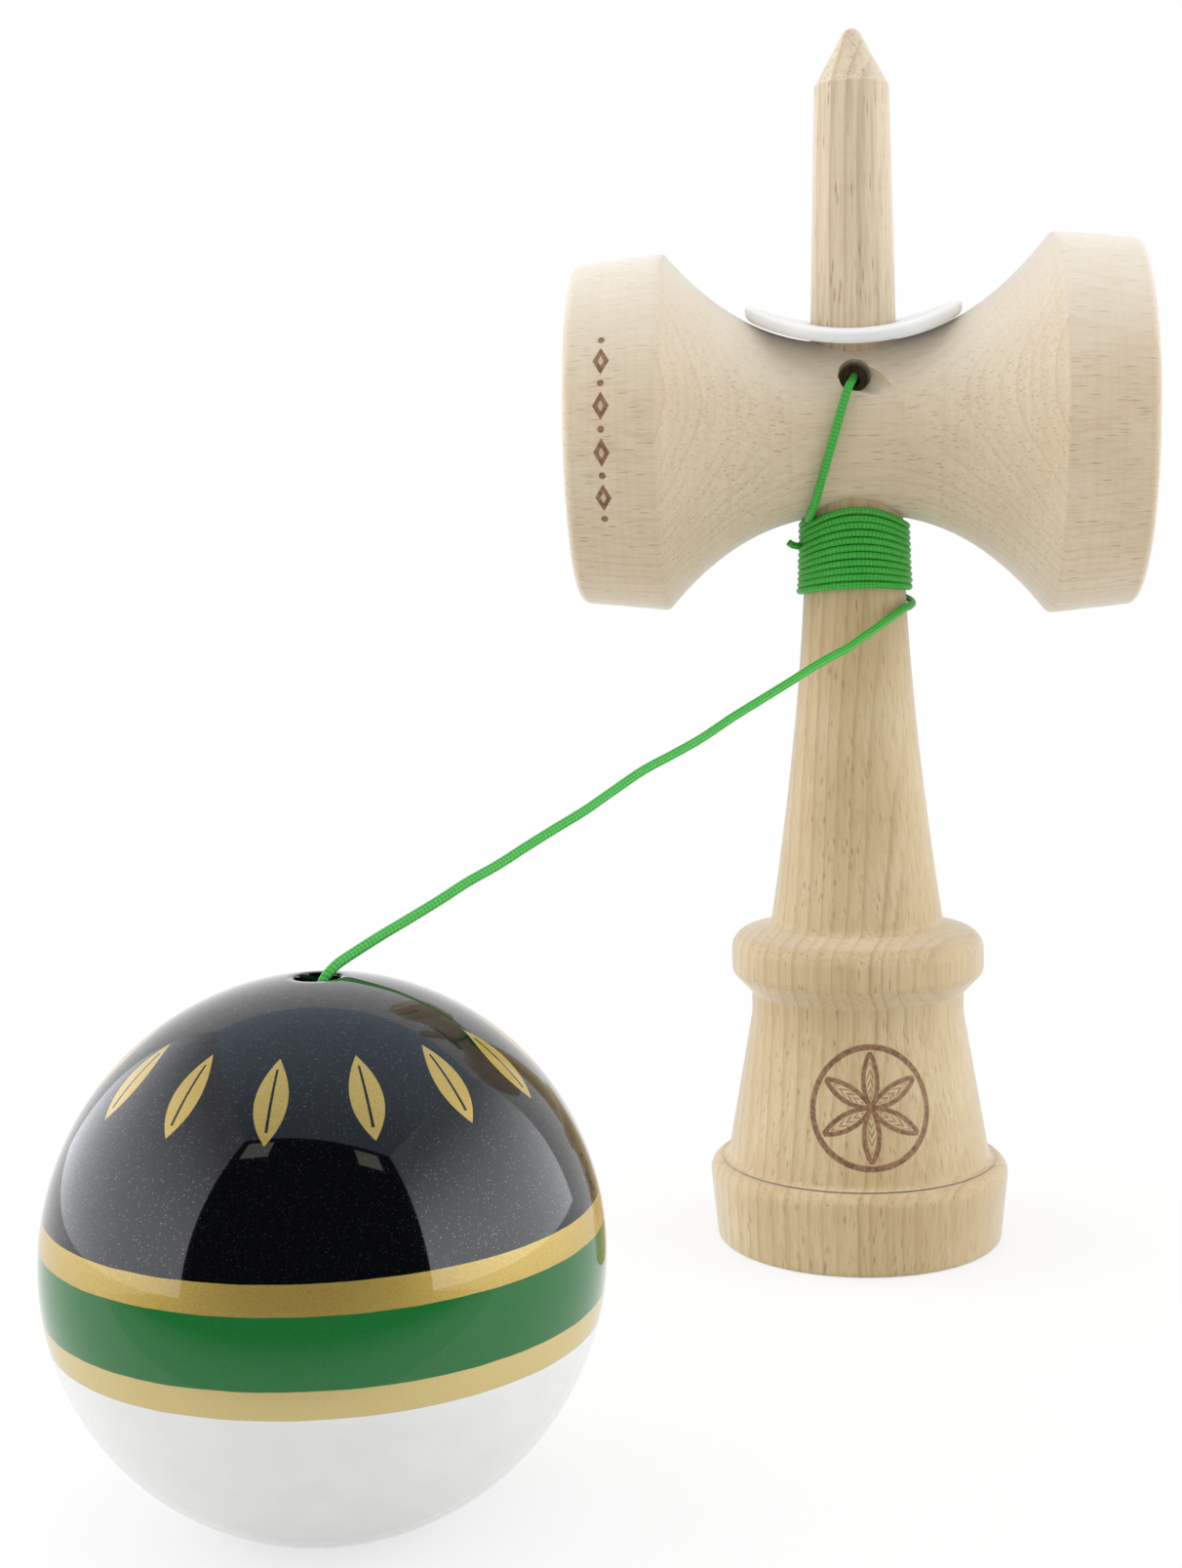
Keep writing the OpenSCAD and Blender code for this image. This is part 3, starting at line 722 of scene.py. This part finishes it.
def saradoHalf(name, side):  # from the axis over the cup, the lip and the ridge to the waist
    steps = 36
    sizes = ("CupR", "MouthR", "RimR", "RidgeR", "RidgeX")
    cupR, mouthR, rimR, ridgeR, ridgeX = (sarado[name + size] for size in sizes)
    rise = ridgeR - sarado["waistR"]
    flare = [(sarado["waistR"] + rise * s ** sarado["flareBend"], side * ridgeX * s, 0)
             for s in (1 - i / steps for i in range(3, steps + 1))]
    band = [(rimR, side * sarado["half"], sarado["lipRound"]), (ridgeR, side * ridgeX, sarado["ridgeRound"])]
    return cupCurve(cupR, mouthR, sarado["half"], side) + band + flare


# Small burnt lozenges and dots down the left band
lozenges = {"at": -33.9, "pitch": 6.2, "count": 4, "centre": -0.4, "halfWide": 1.15, "halfTall": 2.0,
            "bandR": 24.6, "dotR": 0.55, "skin": 2.5}


def lozengeMarks(tree, spot):
    local = inMillimetres(tree, spot, saradoCentre)
    x, y, z = split(tree, local)
    outside = above(tree, hypot(tree, y, z), lozenges["bandR"] - lozenges["skin"])  # not in the cup
    front = times(tree, below(tree, y, 0.0), outside)
    wrap = times(tree, angleOf(tree, z, times(tree, y, -1.0)), lozenges["bandR"])
    v = minus(tree, wrap, lozenges["centre"])
    half = lozenges["pitch"] * lozenges["count"] / 2
    within = below(tree, absolute(tree, v), half + lozenges["dotR"])
    u = absolute(tree, minus(tree, x, lozenges["at"]))
    cell = fraction(tree, over(tree, plus(tree, v, half), lozenges["pitch"]))
    w = times(tree, absolute(tree, minus(tree, cell, 0.5)), lozenges["pitch"])
    lozenge = plus(tree, over(tree, u, lozenges["halfWide"]), over(tree, w, lozenges["halfTall"]))
    shape = stepDown(tree, lozenge, 0.9, 1.05)
    heart = stepDown(tree, lozenge, 0.3, 0.42)
    shape = minus(tree, shape, times(tree, heart, 0.75))
    gap = minus(tree, lozenges["pitch"] / 2, w)
    dot = stepDown(tree, hypot(tree, u, gap), lozenges["dotR"] * 0.7, lozenges["dotR"])
    return times(tree, times(tree, most(tree, shape, dot), within), front)


def chippedHole():  # the string hole, torn at its right and lower edge
    sides = 64
    rings = []
    for reach in sarado["holeReaches"]:
        radii = []
        for k in range(sides):
            angle = 2 * math.pi * k / sides
            rough = noise.noise((math.cos(angle) * 2.1, math.sin(angle) * 2.1, reach * 0.5)) * 0.3
            toTear = max(0, math.cos(angle + math.radians(sarado["tearTurn"])))
            tear = toTear ** 4 * max(0, reach - sarado["tearFrom"])
            radii.append(sarado["holeR"] + rough * min(1, max(0, reach - sarado["roughFrom"]) / 2) + tear)
        rings.append((reach, radii))
    return addCutter(rings, toFront, saradoCentre / mm + up * sarado["holeRise"])


saradoMaterial = beech("sandedBeechCrossPiece", saradoWood, lozengeMarks)
saradoProfile = outline(saradoHalf("left", -1) + saradoHalf("right", 1)[::-1], sarado["step"])
saradoPiece = turn("sarado", saradoProfile, sarado["segments"], saradoMaterial,
                   Matrix.Translation(saradoCentre) @ Matrix.Rotation(math.pi / 2, 4, "Y"))
boreFrom = saradoCentre / mm - up * (sarado["waistR"] + sarado["below"])
socketTop = sarado["below"] + sarado["socketDepth"]
cutAway(saradoPiece, [
    addDrill(sarado["boreR"], 0, sarado["boreL"], 72, up, boreFrom),
    addDrill(sarado["socketR"], -sarado["overrun"], socketTop, 72, up, boreFrom), chippedHole()])
print("cross-piece turned and drilled")


# White polypropylene: moulded and bent, satin, with faint scuffs
washer = {"outerR": 15.3, "holeR": 6.4, "thick": 1.8, "bendR": 37.7, "lowZ": 130.8, "tilt": 7.5,
          "edge": 0.75, "holeEdge": 0.45, "segments": 160}


def whitePlastic():
    material, tree, shader = newMaterial("whitePolypropylene")
    spot = objectSpot(tree)
    cloud = noiseAt(tree, spot, 120, 3)
    grit = noiseAt(tree, spot, 2200, 2)
    tint = blend(tree, stepUp(tree, cloud, 0.35, 0.7), "#f7f8f9", "#f0f1f2")
    rough = plus(tree, times(tree, cloud, 0.2), 0.3)
    feed(tree, shader, {"Base Color": tint, "Roughness": rough, "IOR": 1.49})  # polypropylene
    linkBump(tree, shader, grit, 0.02, 0.2)
    return material


def makeWasher(material):
    lean = Matrix.Rotation(math.radians(washer["tilt"]), 3, "X")
    thick, hole, outer = washer["thick"], washer["holeR"], washer["outerR"]
    seat = up * (washer["lowZ"] + thick / 2)
    section = outline([(hole, thick / 2, 0), (hole, 0, washer["holeEdge"]), (outer, 0, washer["edge"]),
                       (outer, thick, washer["edge"]), (hole, thick, washer["holeEdge"]),
                       (hole, thick / 2, 0)], 0.6)[:-1]
    work = bmesh.new()
    rings = []
    for k in range(washer["segments"]):
        angle = 2 * math.pi * k / washer["segments"]
        ring = []
        for radius, level in section:
            x, y = radius * math.cos(angle), radius * math.sin(angle)
            bend = washer["bendR"] - level
            z = washer["bendR"] - math.sqrt(bend * bend - x * x) - thick / 2
            ring.append(work.verts.new((lean @ Vector((x, y, z)) + seat) * mm + kenAxis))
        rings.append(ring)
    for here, there in zip(rings, rings[1:] + rings[:1]):
        bridge(work, here, there)
    mesh = meshFrom(work, "spikeWasher")
    closeMesh(mesh, 60)
    return addPiece("spikeWasher", mesh, material)


washerPiece = makeWasher(whitePlastic())
print("washer bent")


# The ball, in millimetres from its centre
tama = {"radius": 30, "z": 27.811, "mouthR": 11.25, "boreR": 8.75, "boreL": 24.8, "chamberR": 6.3,
        "chamberL": 8.5, "roofAngle": 59, "holeR": 2.45, "holeEdge": 0.35, "segments": 256, "step": 0.8,
        "band": 6.94, "line": 12.69, "flake": 0.17}
tamaCentre = tamaAxis + up * tama["z"] * mm


def tamaProfile():
    low = -math.acos(tama["mouthR"] / tama["radius"])
    high = math.acos((tama["holeR"] + tama["holeEdge"]) / tama["radius"])
    skin = arc(tama["radius"], 0, low, high, 110)
    boreLow = tama["mouthR"] - tama["boreR"] - tama["z"]
    boreTop = boreLow + tama["boreL"]
    chamberTop = boreTop + tama["chamberL"]
    roofTop = chamberTop + (tama["chamberR"] - tama["holeR"]) / math.tan(math.radians(tama["roofAngle"]))
    lip = skin[-1][1]
    corners = skin + [(tama["holeR"] + 0.1, lip - 0.08, 0), (tama["holeR"], lip - tama["holeEdge"], 0),
                      (tama["holeR"], roofTop, 0), (tama["chamberR"], chamberTop, 0),
                      (tama["chamberR"], boreTop, 0), (tama["boreR"], boreTop, 0),
                      (tama["boreR"], boreLow, 0), skin[0]]
    return outline(corners, tama["step"])


# Gloss lacquer on a wooden ball: black with fine metal flake, gold paint lines, a green band, white below
def ballLacquer():
    material, tree, shader = newMaterial("glossLacquerOnWood")
    local = inMillimetres(tree, objectSpot(tree), tamaCentre)
    x, y, z = split(tree, local)
    waver = noiseAt(tree, local, 0.25, 2)
    level = plus(tree, z, times(tree, minus(tree, waver, 0.5), 0.16))
    band = tama["radius"] * math.sin(math.radians(tama["band"]))
    line = tama["radius"] * math.sin(math.radians(tama["line"]))
    height = absolute(tree, level)
    outer = stepUp(tree, height, line - 0.05, line + 0.05)
    gold = times(tree, stepUp(tree, height, band - 0.05, band + 0.05), flip(tree, outer))
    upper = above(tree, level, 0.0)
    black = times(tree, outer, upper)
    petals = goldPetals(tree, x, y, z)
    gold = most(tree, gold, times(tree, petals, upper))
    flakes = addNode(tree, "ShaderNodeTexVoronoi", {"Vector": local, "Scale": 1 / tama["flake"]})
    glint = addNode(tree, "ShaderNodeSeparateColor", {0: flakes.outputs["Color"]})
    fleck = times(tree, stepUp(tree, glint.outputs[0], 0.8, 0.86),
                  stepDown(tree, flakes.outputs["Distance"], 0.3, 0.5))
    fine = noiseAt(tree, local, 9, 2)
    flakeTone = blend(tree, glint.outputs[1], "#15181d", "#5d646f")
    blackTone = blend(tree, fleck, "#06070a", flakeTone)
    greenTone = blend(tree, stepUp(tree, fine, 0.35, 0.7), "#146a2e", "#197634")
    whiteTone = blend(tree, stepUp(tree, waver, 0.35, 0.7), "#f2f3f3", "#eff0f0")
    goldTone = blend(tree, stepUp(tree, fine, 0.3, 0.75), "#c6ac5e", "#b09447")
    goldTone = blend(tree, times(tree, flip(tree, upper), 0.5), goldTone, "#e4d49a")
    base = blend(tree, outer, greenTone, blend(tree, upper, whiteTone, blackTone))
    base = blend(tree, gold, base, goldTone)
    away = addNode(tree, "ShaderNodeVectorMath", {0: local}, operation="LENGTH").outputs["Value"]
    radius = tama["radius"]
    painted = most(tree, stepUp(tree, away, radius - 0.6, radius - 0.3),
                   stepUp(tree, z, radius * 0.7, radius * 0.75))  # lacquer runs into the string hole
    wood = noiseAt(tree, stretch(tree, local, (1.2, 1.2, 0.06)), 1, 3)
    bare = blend(tree, wood, "#c9ab7c", "#a98556")
    sparkle = times(tree, fleck, black)
    metal = times(tree, most(tree, times(tree, gold, 0.6), sparkle), painted)
    goldRough = plus(tree, times(tree, fine, 0.14), 0.4)
    rough = addNode(tree, "ShaderNodeMix", {0: gold, 2: 0.1, 3: goldRough}, data_type="FLOAT").outputs[0]
    rough = addNode(tree, "ShaderNodeMix", {0: painted, 2: 0.65, 3: rough}, data_type="FLOAT").outputs[0]
    feed(tree, shader, {"Base Color": blend(tree, painted, bare, base), "Metallic": metal,
                        "Roughness": rough, "Specular IOR Level": 0.04,  # the coat alone carries the gloss
                        "Coat Weight": 1.0, "Coat Roughness": 0.035, "Coat IOR": 1.52})  # acrylic lacquer
    dust = noiseAt(tree, local, 0.5, 2)
    linkBump(tree, shader, plus(tree, times(tree, dust, 0.3), times(tree, gold, 0.15)), 0.02, 0.25)
    return material


# A ring of slim gold leaves round the string hole
leaves = {"count": 14, "latitude": 47, "halfTall": 9.5, "halfWide": 4.6}


def goldPetals(tree, x, y, z):
    latitude = times(tree, calc(tree, "ARCSINE", over(tree, z, tama["radius"])), 180 / math.pi)
    bearing = plus(tree, angleOf(tree, y, x), math.pi * 2)
    pitch = 2 * math.pi / leaves["count"]
    share = minus(tree, fraction(tree, over(tree, bearing, pitch)), 0.5)
    side = absolute(tree, times(tree, share, 360 / leaves["count"]))
    rise = over(tree, minus(tree, latitude, leaves["latitude"]), leaves["halfTall"])
    width = times(tree, flip(tree, times(tree, rise, rise)), leaves["halfWide"])
    leaf = stepUp(tree, minus(tree, width, side), -0.12, 0.12)
    vein = stepDown(tree, side, 0.3, 0.5)
    ends = below(tree, absolute(tree, rise), 0.72)
    return times(tree, leaf, flip(tree, times(tree, vein, ends)))


tamaPiece = turn("tama", tamaProfile(), tama["segments"], ballLacquer(), Matrix.Translation(tamaCentre))

# The stop bead inside the ball
bead = {"radius": 4, "half": 3.2, "holeR": 0.9, "z": 34.46, "segments": 64}
beadWood = {"centre": tamaAxis, "turn": (0, 0, 0), "pith": (30, 12), "pithFar": 30, "toPith": (0.93, 0.37, 0),
            "sway": 2, "lean": 0.01, "ring": 1.4, "paintedTopLight": 0, "paleRise": (300, 400),
            "pale": "#d9bd8f", "mid": "#cfae7c", "warm": "#bd9561", "late": "#9a7444", "ray": "#83603a",
            "streak": 0.4, "ringDepth": 0.5, "fleck": 0.4, "fleckShare": 0.5, "fleckLong": 2,
            "fleckWide": 0.5, "fibre": 0.2, "lathe": 0.1}


def beadProfile():
    flat = math.sqrt(bead["radius"] ** 2 - bead["half"] ** 2)
    top = math.asin(bead["half"] / bead["radius"])
    skin = arc(bead["radius"], 0, -top, top, 24)
    start = (bead["holeR"], -bead["half"], 0)
    corners = [start, (flat, -bead["half"], 0)] + skin[1:-1]
    return outline(corners + [(flat, bead["half"], 0), (bead["holeR"], bead["half"], 0), start], 0.5)


beadPlace = tamaAxis + up * bead["z"] * mm
beadPiece = turn("stopBead", beadProfile(), bead["segments"], beech("bareWoodBead", beadWood),
                 Matrix.Translation(beadPlace))
print("ball and bead turned")

# Every piece on its CAD body
for piece, body, nodes, slot in (
        (kenPiece, "ken", ["ken"], "ken_wood"), (saradoPiece, "ken", ["sarado"], "sarado_wood"),
        (kenKnot, "ken", ["ken_knot"], "string"), (washerPiece, "washer", ["spike_washer"], "washer"),
        (tamaPiece, "tama", ["tama"], "tama_lacquer"), (beadPiece, "string", ["stop_bead"], "bead_wood"),
        (beadKnot, "string", ["bead_knot"], "string")):
    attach(piece, body)
    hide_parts(*nodes)
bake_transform(stringPiece)
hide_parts("string_hitch", "string_winding", "string_lead", "string_span")

# Studio: a white sweep under soft boxes, inside a light tent that only reflections see
studio = {"floorSize": 3.0, "floorFade": (0.12, 0.6), "floorDim": 0.72, "worldLight": 0.49,
          "aim": (0, 0, 0.08),
          "lamps": (("leftBox", (-0.6, 0.02, 0.28), (1.0, 0.55), 3.05),
                    ("rightBox", (0.6, 0.02, 0.28), (1.0, 0.55), 2.32),
                    ("topBox", (0.0, 0.0, 0.9), (1.2, 1.2), 4.6)),
          "wallX": 0.6, "frontY": -0.52, "backY": 0.55, "wallTop": 0.75, "frontTop": 0.9, "lowX": -0.48,
          "highX": (-0.42, 0.57), "apronY": -0.1, "apronEnd": -0.19, "apronX": (-0.25, 0.2), "apronZ": 0.001,
          "lampSide": 0.16, "lampDrop": 0.14, "lampX": (-0.29, 0.36)}


def whiteWhenSeen(tree):  # 1 for the camera and for rays that the camera follows through gloss
    path = addNode(tree, "ShaderNodeLightPath")
    followed = most(tree, path.outputs["Is Glossy Ray"], path.outputs["Is Transmission Ray"])
    return path, most(tree, path.outputs["Is Camera Ray"], followed)


def makeFloor():
    work = bmesh.new()
    bmesh.ops.create_grid(work, x_segments=8, y_segments=8, size=studio["floorSize"])
    mesh = meshFrom(work, "floor")
    material, tree, shader = newMaterial("paleFloor")
    path, seen = whiteWhenSeen(tree)
    tint = blend(tree, path.outputs["Is Camera Ray"], "#dcdbd8", "#f6f6f5")
    feed(tree, shader, {"Base Color": tint, "Roughness": 0.8})
    away = addNode(tree, "ShaderNodeVectorMath", {0: objectSpot(tree)}, operation="LENGTH").outputs["Value"]
    near, far = studio["floorFade"]
    inputs = {0: away, 1: near, 2: far, 3: studio["floorDim"], 4: 1.0}
    share = times(tree, seen, addNode(tree, "ShaderNodeMapRange", inputs).outputs[0])
    glow = addNode(tree, "ShaderNodeEmission", {"Color": (1, 1, 1, 1), "Strength": 1.0}).outputs[0]
    mix = addNode(tree, "ShaderNodeMixShader", {0: share, 1: shader.outputs[0], 2: glow}).outputs[0]
    feed(tree, tree.nodes["Material Output"], {"Surface": mix})
    addPiece("floor", mesh, material)


def makeSky():
    world = bpy.data.worlds.new("studio")
    bpy.context.scene.world = world
    world.use_nodes = True
    tree = world.node_tree
    seen = whiteWhenSeen(tree)[1]
    strength = addNode(tree, "ShaderNodeMapRange", {0: seen, 3: studio["worldLight"], 4: 1.0}).outputs[0]
    feed(tree, tree.nodes["Background"], {"Color": (1, 1, 1, 1), "Strength": strength})


def makeLamps():
    for name, place, size, power in studio["lamps"]:
        lamp = bpy.data.lights.new(name, "AREA")
        lamp.shape = "RECTANGLE"
        lamp.size, lamp.size_y = size
        lamp.energy = power
        holder = addObject(name, lamp)
        holder.location = place
        heading = Vector(studio["aim"]) - Vector(place)
        holder.rotation_euler = heading.to_track_quat("-Z", "Y").to_euler()
        holder.visible_glossy = False


def tentCloth(name, bright, dim, start, end, tint):  # glowing cloth that dims from start to end
    material, tree, shader = newMaterial(name)
    tree.nodes.remove(shader)
    spot = objectSpot(tree)
    line = Vector(end) - Vector(start)
    along = addNode(tree, "ShaderNodeVectorMath", {0: spot, 1: start}, operation="SUBTRACT").outputs[0]
    share = dotWith(tree, along, line / line.length_squared)
    level = stepUp(tree, share, 0, 1, bright, dim)
    glow = addNode(tree, "ShaderNodeEmission", {"Color": tint, "Strength": level}).outputs[0]
    feed(tree, tree.nodes["Material Output"], {"Surface": glow})
    return material


def makeTent():
    x, front, back = studio["wallX"], studio["frontY"], studio["backY"]
    top, opening, side = studio["wallTop"], studio["frontTop"], studio["lampSide"]
    apron, apronX, lift = studio["apronY"], studio["apronX"], studio["apronZ"]
    lowLeft, lowRight = (studio["lowX"], front, 0), (x, front, 0)  # the opening narrows upward
    highLeft, highRight = ((edge, front, opening) for edge in studio["highX"])
    backLeft, backRight = (-x, back, top), (x, back, top)
    panels = [
        ("leftCloth", 2.15, 0.7, (-x, 0, 0.1), (-x, 0, top), "#f4f6fb",
         (lowLeft, (-x, back, 0), backLeft, highLeft)),
        ("rightCloth", 2.85, 0.8, (x, 0, 0.1), (x, 0, top), "#f2f5f8",
         (lowRight, (x, back, 0), backRight, highRight)),
        ("topCloth", 0.9, 0.55, (0, 0.1, top), (0, front, opening), "#dcecfd",
         (backLeft, backRight, highRight, highLeft)),
        ("frontCloth", 0.02, 0.02, (0, front, 0), (0, front, opening), "#ffffff",
         (lowLeft, lowRight, highRight, highLeft)),
        ("frontTable", 0.75, 0.12, (0, apron, 0), (0, studio["apronEnd"], 0), "#ffffff",
         ((-x, front, lift), (x, front, lift), (apronX[1], apron, lift), (apronX[0], apron, lift)))]
    for middle in studio["lampX"]:
        corners = [(middle + i * side, front + 0.002, opening - studio["lampDrop"] + k * side)
                   for i, k in ((-0.5, -0.5), (0.5, -0.5), (0.5, 0.5), (-0.5, 0.5))]
        panels.append(("tentLamp", 1.2, 1.0, (0, 0, 0), up, "#fdfbe8", corners))
    for name, bright, dim, start, end, tint, corners in panels:
        mesh = bpy.data.meshes.new(name)
        mesh.from_pydata(corners, [], [range(4)])
        cloth = addPiece(name, mesh, tentCloth(name, bright, dim, start, end, tint))
        for ray in ("camera", "diffuse", "transmission", "shadow"):
            setattr(cloth, "visible_" + ray, False)


makeFloor()
makeSky()
makeLamps()
makeTent()
print("scene ready")
